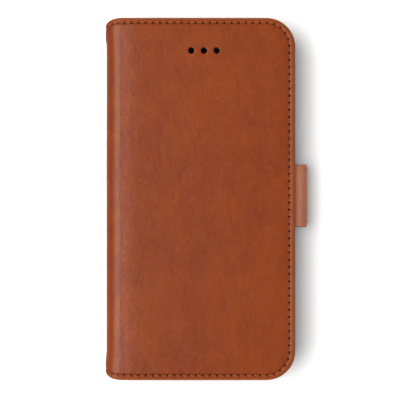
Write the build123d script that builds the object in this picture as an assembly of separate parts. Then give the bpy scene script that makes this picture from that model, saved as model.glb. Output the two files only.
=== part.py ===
"""Leather wallet case for a small phone, closed and lying on its back.

X runs across the case (the spine at -X, the strap at +X), Y runs along it (the earpiece
holes at +Y) and Z runs up through the front cover. The back cover lies on Z = 0.
All lengths are in millimetres.
"""

import os
from math import atan2, cos, degrees, radians, sin

from build123d import *

# The phone that the case is made for.
PHONE_WIDTH = 67.3
PHONE_LENGTH = 138.4
PHONE_THICKNESS = 7.3
PHONE_CORNER = 9.7

# The closed case.
COVER_WIDTH = 76.3
COVER_LENGTH = 146.0
COVER_CORNER = 11.7
STRAP_REACH = 5.6

# Sheet thicknesses.
SKIN = 0.8
BOARD = 1.0
LINING = 0.6
POCKET_SHEET = 0.5
GAP = 0.3

# Phone tray, moulded in one piece.
TRAY_FLOOR = 1.2
TRAY_WALL = 1.5
TRAY_PLAY = 0.2
TRAY_LIP = 0.65
TRAY_LIP_REACH = 0.9
TRAY_FOOT_RADIUS = 1.6
TRAY_EDGE_RADIUS = 0.3
TRAY_FROM_RIGHT = 36.8
WINDOW_BOTTOM = 1.6
WINDOW_HEIGHT = 4.6
WINDOW_CORNER = 1.6

# Strap and its magnetic tip.
STRAP_WIDTH = 25.5
STRAP_Y = 1.3
STRAP_THICKNESS = SKIN + LINING
STRAP_BEND_RADIUS = 3.3
STRAP_CORE = 0.8
STRAP_TIP_X = 13.5
STRAP_TIP_CORNER = 8.0
STRAP_ROOT_X = 20.0
STRAP_LIFT = 0.4
MAGNET_WIDTH = 12.0
MAGNET_LENGTH = 16.0
MAGNET_X = 23.5

# Leather spine, which turns through a rounded crease into each cover.
CREASE_RADIUS = 6.0

# Earpiece holes, camera window and seams.
HOLE_RADIUS = 1.25
HOLE_PITCH = 5.1
HOLE_FROM_TOP = 13.2
CAMERA_WIDTH = 22.0
CAMERA_HEIGHT = 12.0
CAMERA_X = 17.05
CAMERA_Y = 59.5
STITCH_PITCH = 2.87
STITCH_LENGTH = 2.1
STITCH_WIDTH = 0.5
STITCH_DEPTH = 0.3
GROOVE_WIDTH = 0.7
SEAM_FROM_END = 2.3
SEAM_FROM_RIGHT = 2.6
STRAP_SEAM_INSET = 2.0

# Pockets inside the front cover. A mouth is given by its Y.
POCKET_INSET = 1.2
CASH_LEFT = -31.4
CASH_TOP = 48.0
CARD_LEFT = -29.9
CARD_MOUTHS = {"card_slot_upper": 24.0, "card_slot_middle": 12.0, "card_slot_lower": 0.0}
CARD_SEAM_X = -28.6

# Positions across the case.
X_LEFT = -(COVER_WIDTH + STRAP_REACH) / 2
X_RIGHT = X_LEFT + COVER_WIDTH
X_STRAP = -X_LEFT
X_CREASE = X_LEFT + CREASE_RADIUS
X_BEND = X_STRAP - STRAP_BEND_RADIUS
X_TRAY = X_RIGHT - TRAY_FROM_RIGHT
HALF = COVER_LENGTH / 2

# Heights, from the table up.
Z_BACK_LINING = SKIN + BOARD
Z_TRAY = Z_BACK_LINING + LINING
Z_PHONE = Z_TRAY + TRAY_FLOOR
Z_LIP = Z_PHONE + PHONE_THICKNESS + 0.05
Z_TRAY_TOP = Z_LIP + TRAY_LIP
Z_TIP = Z_TRAY_TOP + GAP
Z_TIP_TOP = Z_TIP + LINING + STRAP_CORE + SKIN
Z_POCKETS = Z_TIP_TOP + GAP
Z_FRONT_LINING = Z_POCKETS + 4 * POCKET_SHEET
Z_FRONT_BOARD = Z_FRONT_LINING + LINING
Z_FRONT_SKIN = Z_FRONT_BOARD + BOARD
Z_TOP = Z_FRONT_SKIN + SKIN
Z_BACK_CREASE = CREASE_RADIUS
Z_FRONT_CREASE = Z_TOP - CREASE_RADIUS
Z_LOWER_BEND = STRAP_LIFT + STRAP_BEND_RADIUS
Z_UPPER_BEND = Z_TIP_TOP - STRAP_BEND_RADIUS


def block(x0, x1, y0, y1, z0, z1):
    """A box between two corners."""
    size = Box(x1 - x0, y1 - y0, z1 - z0)
    return Pos((x0 + x1) / 2, (y0 + y1) / 2, (z0 + z1) / 2) * size


def cover_sheet(inset, z0, z1, left=X_CREASE, top=HALF):
    """A flat sheet with the cover's two rounded right-hand corners."""
    right = X_RIGHT - inset
    bottom = -HALF + inset
    top = min(top, HALF - inset)
    outline = Pos((left + right) / 2, (bottom + top) / 2) * Rectangle(right - left, top - bottom)
    corners = outline.vertices().group_by(Axis.X)[-1]
    if top < HALF - COVER_CORNER:
        corners = corners.group_by(Axis.Y)[0]
    outline = fillet(corners, COVER_CORNER - inset)
    return Pos(0, 0, z0) * extrude(outline, z1 - z0)


def seam_groove(z0, z1):
    """The channel that the edge stitching of a cover lies in."""
    ring = cover_sheet(0, z0, z1)
    parts = []
    for side in (-GROOVE_WIDTH / 2, GROOVE_WIDTH / 2):
        right = X_RIGHT - SEAM_FROM_RIGHT + side
        half = HALF - SEAM_FROM_END + side
        left = X_CREASE - GROOVE_WIDTH
        outline = Pos((left + right) / 2, 0) * Rectangle(right - left, 2 * half)
        corners = outline.vertices().group_by(Axis.X)[-1]
        outline = fillet(corners, COVER_CORNER - SEAM_FROM_END + side)
        parts.append(Pos(0, 0, z0) * extrude(outline, z1 - z0))
    return ring & (parts[1] - parts[0])


def edge_stitches(z0):
    """One stitch after another round the three sewn edges of a cover."""
    right = X_RIGHT - SEAM_FROM_RIGHT
    half = HALF - SEAM_FROM_END
    corner = COVER_CORNER - SEAM_FROM_END
    path = FilletPolyline(
        (X_CREASE, half), (right, half), (right, -half), (X_CREASE, -half), radius=corner
    )
    return stitches_along(path, z0)


def stitches_along(path, z0):
    """Separate stitches, evenly spaced on a path, lying between z0 and z0 + STITCH_DEPTH."""
    count = round(path.length / STITCH_PITCH)
    step = path.length / count
    solids = []
    for index in range(count):
        place = (index + 0.5) * step
        point = path.position_at(place, position_mode=PositionMode.LENGTH)
        along = path.tangent_at(place, position_mode=PositionMode.LENGTH)
        turn = degrees(atan2(along.Y, along.X))
        stitch = Box(STITCH_LENGTH, STITCH_WIDTH, STITCH_DEPTH)
        solids.append(Pos(point.X, point.Y, z0 + STITCH_DEPTH / 2) * Rot(0, 0, turn) * stitch)
    return solids


def arc_sheet(x, z, outer, inner, x0, x1, z0, z1, width, y=0):
    """Part of a tube about the Y axis at (x, z), kept inside a box in X and Z."""
    ring = Plane.XZ * (Pos(x, z) * (Circle(outer) - Circle(inner)))
    tube = extrude(ring, width / 2, both=True)
    return (Pos(0, y, 0) * tube) & block(x0, x1, y - width, y + width, z0, z1)


def case_ends():
    """The case seen from above: its ends are drawn in a little towards the spine."""
    half = [
        (X_RIGHT, HALF),
        (X_CREASE, HALF),
        (X_LEFT + 3.2, HALF - 0.3),
        (X_LEFT + 1.2, HALF - 0.9),
        (X_LEFT - 0.1, HALF - 1.6),
    ]
    outline = half + [(x, -y) for x, y in reversed(half)]
    return extrude(make_face(Polyline(*outline, close=True)), Z_TOP)


def skin_shell(z_face, z_rim):
    """An outer skin: a face with its rim turned over the edge of the board."""
    low, high = min(z_face, z_rim), max(z_face, z_rim)
    shell = cover_sheet(0, low, high)
    if z_face < z_rim:
        return shell - cover_sheet(SKIN, z_face + SKIN, high)
    return shell - cover_sheet(SKIN, low, z_face - SKIN)


def earpiece_holes():
    """Three round holes in a row across the top of the front cover."""
    hole = Cylinder(HOLE_RADIUS, 4 * SKIN + BOARD + LINING)
    middle = (Z_FRONT_LINING + Z_TOP) / 2
    places = [X_TRAY + index * HOLE_PITCH for index in (-1, 0, 1)]
    return [Pos(x, HALF - HOLE_FROM_TOP, middle) * hole for x in places]


def camera_window(growth=0.0):
    """A pill-shaped window through the back for the camera and its flash."""
    outline = SlotOverall(CAMERA_WIDTH + 2 * growth, CAMERA_HEIGHT + 2 * growth)
    return Pos(CAMERA_X, CAMERA_Y, -1) * extrude(outline, Z_PHONE + 2)


def strap_slot():
    """The gap in the back cover's edge that the strap comes out of."""
    low, high = STRAP_Y - STRAP_WIDTH / 2, STRAP_Y + STRAP_WIDTH / 2
    return block(STRAP_ROOT_X, X_RIGHT + 1, low, high, SKIN, Z_BACK_LINING)


def back_cover():
    """The back cover's sheets, with the camera window through all of them."""
    window = camera_window()
    skin = skin_shell(0, Z_TRAY) - seam_groove(0, STITCH_DEPTH) - window - strap_slot()
    board = cover_sheet(SKIN, SKIN, Z_BACK_LINING) - camera_window(1.0) - strap_slot()
    lining = cover_sheet(SKIN, Z_BACK_LINING, Z_TRAY) - window
    return {
        "back_skin": skin,
        "back_board": board,
        "back_lining": lining,
        "back_stitching": Compound(edge_stitches(0)),
    }


def tray_window(x0, x1, y0, y1, lift=0.0):
    """A cutter for a window through one wall of the tray, with rounded corners."""
    low = Z_PHONE + WINDOW_BOTTOM + lift
    cutter = block(x0, x1, y0, y1, low, low + WINDOW_HEIGHT)
    through = Axis.X if x1 - x0 < y1 - y0 else Axis.Y
    return fillet(cutter.edges().filter_by(through), WINDOW_CORNER)


def phone_tray():
    """A flexible tray whose lip holds the phone, with windows for its controls."""
    width = PHONE_WIDTH + 2 * TRAY_PLAY
    length = PHONE_LENGTH + 2 * TRAY_PLAY
    corner = PHONE_CORNER + TRAY_PLAY
    shell = RectangleRounded(width + 2 * TRAY_WALL, length + 2 * TRAY_WALL, corner + TRAY_WALL)
    tray = Pos(X_TRAY, 0, Z_TRAY) * extrude(shell, Z_TRAY_TOP - Z_TRAY)
    tray = fillet(tray.edges().group_by(Axis.Z)[0], TRAY_FOOT_RADIUS)
    bay = extrude(RectangleRounded(width, length, corner), Z_LIP - Z_PHONE)
    mouth = RectangleRounded(
        width - 2 * TRAY_LIP_REACH, length - 2 * TRAY_LIP_REACH, corner - TRAY_LIP_REACH
    )
    tray -= Pos(X_TRAY, 0, Z_PHONE) * bay
    tray -= Pos(X_TRAY, 0, Z_PHONE) * extrude(mouth, Z_TRAY_TOP)
    tray = fillet(tray.edges().group_by(Axis.Z)[-1], TRAY_EDGE_RADIUS)
    side = width / 2
    end = length / 2
    tray -= tray_window(X_TRAY - side - 3, X_TRAY - side + 1, 20, 52)
    tray -= tray_window(X_TRAY + side - 1, X_TRAY + side + 3, 26, 42)
    tray -= tray_window(X_TRAY - 21, X_TRAY + 21, -end - 3, -end + 1, -0.4)
    return {"phone_tray": tray - camera_window()}


def front_cover():
    """The front cover's sheets, its magnet and the three earpiece holes."""
    holes = earpiece_holes()
    groove = seam_groove(Z_TOP - STITCH_DEPTH, Z_TOP)
    skin = skin_shell(Z_TOP, Z_FRONT_LINING) - groove - holes
    low, high = STRAP_Y - MAGNET_LENGTH / 2, STRAP_Y + MAGNET_LENGTH / 2
    left, right = MAGNET_X - MAGNET_WIDTH / 2, MAGNET_X + MAGNET_WIDTH / 2
    magnet = block(left, right, low, high, Z_FRONT_BOARD, Z_FRONT_SKIN)
    board = cover_sheet(SKIN, Z_FRONT_BOARD, Z_FRONT_SKIN) - holes - magnet
    lining = cover_sheet(SKIN, Z_FRONT_LINING, Z_FRONT_BOARD) - holes
    return {
        "front_skin": skin,
        "front_board": board,
        "front_lining": lining,
        "front_magnet": magnet,
        "front_stitching": Compound(edge_stitches(Z_TOP - STITCH_DEPTH)),
    }


def pockets():
    """A cash pocket and three staggered card slots, layered inside the front cover."""
    z = Z_FRONT_LINING - POCKET_SHEET
    cash = cover_sheet(POCKET_INSET, z, z + POCKET_SHEET, CASH_LEFT, CASH_TOP)
    nodes = {"cash_pocket_panel": cash}
    bottom = -HALF + SEAM_FROM_END + STITCH_PITCH
    stitches = []
    mouths = list(CARD_MOUTHS.items())
    for index, (name, mouth) in enumerate(mouths):
        z -= POCKET_SHEET
        sheet = cover_sheet(POCKET_INSET, z, z + POCKET_SHEET, CARD_LEFT, mouth)
        shown = mouths[index + 1][1] + GAP if index < 2 else bottom
        left, right = CARD_SEAM_X - GROOVE_WIDTH / 2, CARD_SEAM_X + GROOVE_WIDTH / 2
        sheet -= block(left, right, shown, mouth - 1, z, z + STITCH_DEPTH)
        row = Line((CARD_SEAM_X, mouth - 1), (CARD_SEAM_X, shown))
        stitches += stitches_along(row, z)
        nodes[name] = sheet
    nodes["card_slot_stitching"] = Compound(stitches)
    return nodes


def creases():
    """The rounded leather creases between the spine and the two covers."""
    ends = case_ends()
    long = COVER_LENGTH + 2
    outside, between, inside = CREASE_RADIUS, CREASE_RADIUS - SKIN, CREASE_RADIUS - SKIN - LINING
    seam = HALF - SEAM_FROM_END
    nodes = {}
    rows = {
        "back": (Z_BACK_CREASE, 0, Z_BACK_CREASE - GAP, 0),
        "front": (Z_FRONT_CREASE, Z_FRONT_CREASE + GAP, Z_TOP, 180),
    }
    for name, (z, low, high, start) in rows.items():
        room = (X_LEFT, X_CREASE, low, high)
        skin = arc_sheet(X_CREASE, z, outside, between, *room, long) & ends
        lining = arc_sheet(X_CREASE, z, between, inside, *room, long) & ends
        stitches = []
        for y in (-seam, seam):
            groove = arc_sheet(
                X_CREASE, z, outside + 1, outside - STITCH_DEPTH, *room, GROOVE_WIDTH, y
            )
            skin -= groove
            stitches += crease_stitches(z, start, y)
        nodes[f"{name}_crease_skin"] = skin
        nodes[f"{name}_crease_lining"] = lining
        nodes[f"{name}_crease_stitching"] = Compound(stitches)
    return nodes


def crease_stitches(z, start, y):
    """Stitches over a crease: from the back cover (start 0) or the front cover (180)."""
    step = degrees(STITCH_PITCH / CREASE_RADIUS)
    middle = CREASE_RADIUS - STITCH_DEPTH / 2 - 0.05
    solids = []
    for index in range(3):
        swing = (index + 0.55) * step
        angle = swing if start == 0 else start - swing
        place = Pos(X_CREASE - middle * sin(radians(angle)), y, z - middle * cos(radians(angle)))
        stitch = Box(STITCH_LENGTH, STITCH_WIDTH, STITCH_DEPTH - 0.1)
        solids.append(place * Rot(0, angle, 0) * stitch)
    return solids


def spine():
    """The flat middle of the spine, between the two creases."""
    ends = case_ends()
    low, high = Z_BACK_CREASE, Z_FRONT_CREASE
    reach = HALF + 1
    skin = block(X_LEFT, X_LEFT + SKIN, -reach, reach, low, high) & ends
    lining = block(X_LEFT + SKIN, X_LEFT + SKIN + LINING, -reach, reach, low, high) & ends
    seam = HALF - SEAM_FROM_END
    stitches = []
    for y in (-seam, seam):
        half = GROOVE_WIDTH / 2
        skin -= block(X_LEFT - 1, X_LEFT + STITCH_DEPTH, y - half, y + half, low, high)
        for z in (low + (high - low) * 0.25, low + (high - low) * 0.75):
            stitch = Box(STITCH_DEPTH, STITCH_WIDTH, STITCH_LENGTH)
            stitches.append(Pos(X_LEFT + STITCH_DEPTH / 2, y, z) * stitch)
    return {"spine_skin": skin, "spine_lining": lining, "spine_stitching": Compound(stitches)}


def strap_profile(points):
    """A strap piece from its outline seen from the end of the case."""
    outline = Plane.XZ * make_face(Polyline(*points, close=True))
    return Pos(0, STRAP_Y, 0) * extrude(outline, STRAP_WIDTH / 2, both=True)


def strap_root():
    """The end of the strap sewn into the back cover, and the bend up from it."""
    low, top = STRAP_LIFT, STRAP_LIFT + STRAP_THICKNESS
    anchor = strap_profile(
        [
            (STRAP_ROOT_X, SKIN),
            (X_RIGHT + 0.1, SKIN),
            (X_RIGHT + 0.5, low),
            (X_BEND, low),
            (X_BEND, top),
            (STRAP_ROOT_X, top),
        ]
    )
    nodes = {"strap_anchor": anchor}
    nodes.update(strap_bend("lower", Z_LOWER_BEND, 0, Z_LOWER_BEND - GAP))
    return nodes


def strap_bend(name, z, low, high):
    """One rounded bend of the strap, in leather outside and lining inside."""
    outside = STRAP_BEND_RADIUS
    between, inside = outside - SKIN, outside - STRAP_THICKNESS
    room = (X_BEND, X_STRAP, low, high)
    leather = arc_sheet(X_BEND, z, outside, between, *room, STRAP_WIDTH, STRAP_Y)
    lining = arc_sheet(X_BEND, z, between, inside, *room, STRAP_WIDTH, STRAP_Y)
    return {f"strap_{name}_bend_leather": leather, f"strap_{name}_bend_lining": lining}


def strap_side():
    """The part of the strap that stands up beside the phone."""
    half = STRAP_WIDTH / 2
    y0, y1 = STRAP_Y - half, STRAP_Y + half
    low, high = Z_LOWER_BEND, Z_UPPER_BEND
    leather = block(X_STRAP - SKIN, X_STRAP, y0, y1, low, high)
    lining = block(X_STRAP - STRAP_THICKNESS, X_STRAP - SKIN, y0, y1, low, high)
    stitches = []
    for y in (y0 + STRAP_SEAM_INSET, y1 - STRAP_SEAM_INSET):
        room = GROOVE_WIDTH / 2
        leather -= block(X_STRAP - STITCH_DEPTH, X_STRAP + 1, y - room, y + room, low, high)
        for z in (low + (high - low) * 0.25, low + (high - low) * 0.75):
            stitch = Box(STITCH_DEPTH, STITCH_WIDTH, STITCH_LENGTH)
            stitches.append(Pos(X_STRAP - STITCH_DEPTH / 2, y, z) * stitch)
    return {
        "strap_side_leather": leather,
        "strap_side_lining": lining,
        "strap_side_stitching": Compound(stitches),
    }


def tongue(inset, z0, z1, right=X_BEND):
    """A sheet with the outline of the strap's rounded tip."""
    left = STRAP_TIP_X + inset
    width = STRAP_WIDTH - 2 * inset
    outline = Pos((left + right) / 2, STRAP_Y) * Rectangle(right - left, width)
    outline = fillet(outline.vertices().group_by(Axis.X)[0], STRAP_TIP_CORNER - inset)
    return Pos(0, 0, z0) * extrude(outline, z1 - z0)


def strap_tip():
    """The strap's tip: leather and lining sewn round a stiff core that holds a magnet."""
    z_core = Z_TIP + LINING
    z_leather = z_core + STRAP_CORE
    core_right = X_BEND - 3.2
    low, high = STRAP_Y - MAGNET_LENGTH / 2, STRAP_Y + MAGNET_LENGTH / 2
    left, right = MAGNET_X - MAGNET_WIDTH / 2, MAGNET_X + MAGNET_WIDTH / 2
    magnet = block(left, right, low, high, z_core, z_leather)
    core = tongue(SKIN, z_core, z_leather, core_right) - magnet
    lining = strap_profile(
        [
            (STRAP_TIP_X, Z_TIP),
            (core_right + 0.3, Z_TIP),
            (core_right + 1.5, z_leather - LINING),
            (X_BEND, z_leather - LINING),
            (X_BEND, z_leather),
            (core_right + 1.2, z_leather),
            (core_right, z_core),
            (STRAP_TIP_X, z_core),
        ]
    )
    lining &= tongue(0, Z_TIP, z_leather)
    leather = tongue(0, z_leather, Z_TIP_TOP)
    half = STRAP_WIDTH / 2 - STRAP_SEAM_INSET
    left_seam = STRAP_TIP_X + STRAP_SEAM_INSET
    right_seam = core_right
    for side in (-1, 1):
        y = STRAP_Y + side * half
        room = GROOVE_WIDTH / 2
        start = STRAP_TIP_X + STRAP_TIP_CORNER
        top = Z_TIP_TOP - STITCH_DEPTH
        leather -= block(start, right_seam, y - room, y + room, top, Z_TIP_TOP)
    rows = []
    for side in (-1, 1):
        y = STRAP_Y + side * half
        row = Line((STRAP_TIP_X + STRAP_TIP_CORNER, y), (right_seam, y))
        rows += stitches_along(row, Z_TIP_TOP - STITCH_DEPTH)
    nodes = {
        "strap_tip_leather": leather,
        "strap_tip_lining": lining,
        "strap_tip_core": core,
        "strap_magnet": magnet,
        "strap_tip_stitching": Compound(rows),
    }
    nodes.update(strap_bend("upper", Z_UPPER_BEND, Z_UPPER_BEND + GAP, Z_TIP_TOP))
    return nodes


def main():
    nodes = {}
    for build in (back_cover, phone_tray, front_cover, pockets, creases, spine):
        nodes.update(build())
    for build in (strap_root, strap_side, strap_tip):
        nodes.update(build())
    os.makedirs("parts", exist_ok=True)
    for name, shape in nodes.items():
        shape.label = name
        export_step(shape, f"parts/{name}.step")


main()
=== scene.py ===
"""Looks of the leather wallet case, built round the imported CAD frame.

Lengths in this file are millimetres until a mesh is made; the frame itself is in metres.
A leather layer is described by s, the distance along the leather from the opening edge,
over the cover and round the spine, y along the case, and n, the depth below the outer face.
"""

import math

import bmesh
import bpy
import numpy as np
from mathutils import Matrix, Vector
from mathutils.geometry import delaunay_2d_cdt


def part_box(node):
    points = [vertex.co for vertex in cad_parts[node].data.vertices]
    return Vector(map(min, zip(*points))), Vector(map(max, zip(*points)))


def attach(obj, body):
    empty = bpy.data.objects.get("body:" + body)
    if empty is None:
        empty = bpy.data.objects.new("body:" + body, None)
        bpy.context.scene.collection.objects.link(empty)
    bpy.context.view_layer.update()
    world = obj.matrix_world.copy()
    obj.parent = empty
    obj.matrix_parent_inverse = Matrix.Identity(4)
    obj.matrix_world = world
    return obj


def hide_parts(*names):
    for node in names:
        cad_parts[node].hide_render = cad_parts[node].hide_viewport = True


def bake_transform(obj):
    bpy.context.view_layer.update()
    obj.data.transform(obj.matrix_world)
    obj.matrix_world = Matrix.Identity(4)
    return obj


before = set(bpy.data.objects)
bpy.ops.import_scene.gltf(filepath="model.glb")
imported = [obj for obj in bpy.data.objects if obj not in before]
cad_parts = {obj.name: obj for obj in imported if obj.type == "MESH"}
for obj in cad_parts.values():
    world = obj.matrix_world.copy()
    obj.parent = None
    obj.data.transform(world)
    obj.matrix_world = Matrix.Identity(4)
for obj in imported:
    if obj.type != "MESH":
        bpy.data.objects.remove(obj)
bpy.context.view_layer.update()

MM = 0.001
PI = math.pi


def box_mm(node):
    """A CAD node's lowest and highest corner."""
    lo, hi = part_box(node)
    return np.array(lo) / MM, np.array(hi) / MM


# ---------------------------------------------------------------- sizes from the frame
SKIN_LO, SKIN_HI = box_mm("front_skin")
SPINE_LO, _ = box_mm("spine_skin")
STRAP_LO, STRAP_HI = box_mm("strap_side_leather")
TIP_LO, TIP_HI = box_mm("strap_tip_leather")
_, CORE_HI = box_mm("strap_tip_core")
ANCHOR_LO, _ = box_mm("strap_anchor")

X_CREASE, X_RIGHT = SKIN_LO[0], SKIN_HI[0]
X_LEFT = SPINE_LO[0]
HALF = SKIN_HI[1]
Z_TOP = SKIN_HI[2]
CREASE = X_CREASE - X_LEFT
CORNER = 11.7

# Along the leather: where the round of the crease starts and ends, and the spine's middle.
S_FLAT = X_RIGHT - X_CREASE
S_ARC = S_FLAT + CREASE * PI / 2
S_MID = S_ARC + (Z_TOP - CREASE) - Z_TOP / 2

# How far the spine is shorter at each end, bows out and swells over its hems, and how much
# the leather is pared on its way into the crease.
END_DROP = 1.9
BOW = 0.1
SWELL = 0.38
PARING = 0.38

# Depths below the outer face: the leather's hidden face, its hem inside and the lining.
SKIN_DEPTH = 0.82
HEM_TOP = 1.84
HEM_LOW = 2.2
LINING_FACE = 2.38
LINING_LOW = 2.44

# Seams: how far in from the edge a seam runs, a little more along the opening edge, its
# needle holes' line, spacing and half sizes.
SEAM = 2.0
SIDE_GAIN = 0.15
SEAM_HOLES = SEAM + 0.08
PITCH = 2.87
HOLE_LENGTH = 0.45
HOLE_WIDTH = 0.27

# Thread: radius, half a stitch, how far a stitch bows towards the edge, and its slant.
THREAD = 0.19
STITCH_HALF = 1.02
THREAD_OUT = 0.22
THREAD_SLANT = 0.13

# Earpiece holes: radius, place and spacing. Camera window: centre, width and height.
HOLE = 1.23
HOLE_PITCH = 5.1
HOLE_Y = HALF - 13.2
HOLE_X = [X_RIGHT - 36.8 + k * HOLE_PITCH for k in (-1, 0, 1)]
WINDOW = (17.05, 59.5, 21.9, 11.9)


def smooth(t):
    """An even step from 0 to 1."""
    t = np.clip(t, 0.0, 1.0)
    return t * t * (3 - 2 * t)


# ---------------------------------------------------------------- the edge of a sheet
def turned(v):
    """A direction turned a quarter turn to the right."""
    return np.array([v[1], -v[0]])


class Edge:
    """A sheet's edge as straights and rounded corners, run anticlockwise along its seam.

    An open edge starts and ends at the sheet's mouth, where the sheet carries on as another
    piece. gain sets the seam further in where the edge faces across the sheet.
    """

    def __init__(self, corners, radii, seam, closed=False, gain=0.0):
        self.closed, self.gain, self.length, self.pieces = closed, gain, 0.0, []
        points = [np.array(c, float) for c in corners]
        ends = []
        for k, (here, radius) in enumerate(zip(points, radii)):
            if not closed and k in (0, len(points) - 1):
                ends.append((here, here, None))
                continue
            into = here - points[k - 1]
            out = points[(k + 1) % len(points)] - here
            into, out = into / np.linalg.norm(into), out / np.linalg.norm(out)
            turn = math.acos(max(-1.0, min(1.0, float(into @ out))))
            cut = radius * math.tan(turn / 2)
            first = turned(into)
            arc = (here - into * cut - radius * first, radius, math.atan2(first[1], first[0]), turn)
            ends.append((here - into * cut, here + out * cut, arc))
        for k, (_, leave, arc) in enumerate(ends):
            if arc:
                _, radius, _, turn = arc
                self.add((radius - seam) * turn, arc)
            if k + 1 < len(ends) or closed:
                run = ends[(k + 1) % len(ends)][0] - leave
                self.add(np.linalg.norm(run), (leave, run / np.linalg.norm(run)))

    def add(self, span, data):
        """One more piece: a straight (start, direction) or an arc (centre, radius, angle, turn)."""
        self.pieces.append((self.length, span, data))
        self.length += span

    def at(self, u, d):
        """The points at u along the seam and d in from the edge."""
        u = np.asarray(u, float)
        point, out = np.zeros((len(u), 2)), np.zeros((len(u), 2))
        for start, span, data in self.pieces:
            here = (u >= start - 1e-6) & (u <= start + span + 1e-6)
            t = (u[here] - start)[:, None]
            if len(data) == 2:
                point[here] = data[0] + t * data[1]
                out[here] = turned(data[1])
            else:
                centre, radius, angle, turn = data
                a = angle + turn * t / span
                out[here] = np.hstack([np.cos(a), np.sin(a)])
                point[here] = centre + radius * out[here]
        depth = np.broadcast_to(np.asarray(d, float), u.shape) * (1 + self.gain * out[:, 0] ** 2)
        return point - depth[:, None] * out

    def samples(self, needles, spacing):
        """Places along the edge: close together round each needle hole and in corners."""
        u = [0.0, self.length]
        for start, span, data in self.pieces:
            step = spacing if len(data) == 2 else min(spacing, 0.14 * data[1])
            u += list(np.linspace(start, start + span, max(2, math.ceil(span / step) + 1)))
        if len(needles):
            close = np.array([-0.8, -0.5, -0.3, -0.1, 0.1, 0.3, 0.5, 0.8])
            apart = np.abs(np.array(u)[:, None] - needles[None, :]).min(1)
            u = [0.0, self.length] + list(np.array(u)[apart > close[-1] + 0.1])
            u += list((needles[:, None] + close[None, :]).ravel())
        u = np.unique(np.round([v for v in u if 0 <= v <= self.length], 3))
        u = u[np.concatenate([[True], np.diff(u) > 0.05])]
        u[-1] = self.length
        return u[:-1] if self.closed else u


# ---------------------------------------------------------------- mesh making
def make_object(name, verts, faces, material, tone=None, sharp=()):
    """A mesh object with smooth shading and its faces turned outwards."""
    mesh = bpy.data.meshes.new(name)
    mesh.from_pydata((np.asarray(verts) * MM).tolist(), [], faces)
    work = bmesh.new()
    work.from_mesh(mesh)
    bmesh.ops.recalc_face_normals(work, faces=work.faces)
    work.to_mesh(mesh)
    work.free()
    obj = bpy.data.objects.new(name, mesh)
    bpy.context.scene.collection.objects.link(obj)
    rest = mesh.attributes.new("rest", "FLOAT_VECTOR", "POINT")
    rest.data.foreach_set("vector", (np.asarray(verts) * MM).astype(np.float32).ravel())
    # Per-vertex tone: positive darkens for burnished edges and for painted shade in needle holes and
    # seam grooves, negative pales for painted light.
    burnish_and_painted_light = mesh.attributes.new("burnish_and_painted_light", "FLOAT", "POINT")
    values = np.zeros(len(verts)) if tone is None else np.asarray(tone)
    burnish_and_painted_light.data.foreach_set("value", values.astype(np.float32))
    mesh.polygons.foreach_set("use_smooth", [True] * len(mesh.polygons))
    if len(sharp):
        wanted = {tuple(sorted(pair)) for pair in sharp}
        flags = [tuple(sorted(e.vertices[:])) in wanted for e in mesh.edges]
        mesh.attributes.new("sharp_edge", "BOOLEAN", "EDGE").data.foreach_set("value", flags)
    mesh.materials.append(material)
    mesh.update()
    return obj


def circle(cx, cy, r, count=36):
    """A closed loop round a centre."""
    a = np.arange(count) * 2 * PI / count
    return np.stack([cx + r * np.cos(a), cy + r * np.sin(a)], -1)


def pill(cx, cy, width, height, grow, per_end=20, per_side=12):
    """A window with round ends, grown outwards all round."""
    r = height / 2 + grow
    half = (width - height) / 2
    a = np.linspace(-PI / 2, PI / 2, per_end)
    right = np.stack([cx + half + r * np.cos(a), cy + r * np.sin(a)], -1)
    t = np.linspace(1, -1, per_side + 2)[1:-1, None]
    top = np.hstack([cx + half * t, np.full_like(t, cy + r)])
    left = np.stack([cx - half - r * np.cos(a), cy - r * np.sin(a)], -1)
    bottom = np.hstack([cx - half * t, np.full_like(t, cy - r)])
    return np.vstack([right, top, left, bottom])


def inside(loop, points):
    """Which points lie inside a closed loop."""
    x, y = points[:, 0], points[:, 1]
    hit = np.zeros(len(points), bool)
    for (x0, y0), (x1, y1) in zip(loop, np.roll(loop, -1, axis=0)):
        if y0 != y1:
            hit ^= ((y0 > y) != (y1 > y)) & (x < (x1 - x0) * (y - y0) / (y1 - y0) + x0)
    return hit


def near(loop, points, reach):
    """Which points lie within reach of a loop's corners."""
    return np.array([np.hypot(*(loop - p).T).min() < reach for p in points], bool)


def triangulate(boundary, loops, lattice):
    """Triangles over a boundary loop, with inner loops kept as edges and loose points."""
    edges, first = [], 0
    for loop in [boundary, *loops]:
        edges += [(first + k, first + (k + 1) % len(loop)) for k in range(len(loop))]
        first += len(loop)
    flat = np.vstack([boundary, *loops, lattice])
    out = delaunay_2d_cdt(
        [Vector(p) for p in flat.tolist()], edges, [list(range(len(boundary)))], 1, 1e-7
    )
    index = [origin[0] if origin else -1 for origin in out[3]]
    faces = [tuple(index[k] for k in face) for face in out[2]]
    return flat, np.array([face for face in faces if min(face) >= 0])


def band(above, below):
    """Faces between two closed loops of vertices."""
    after = above[1:] + above[:1]
    return list(zip(above, after, below[1:] + below[:1], below))


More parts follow.
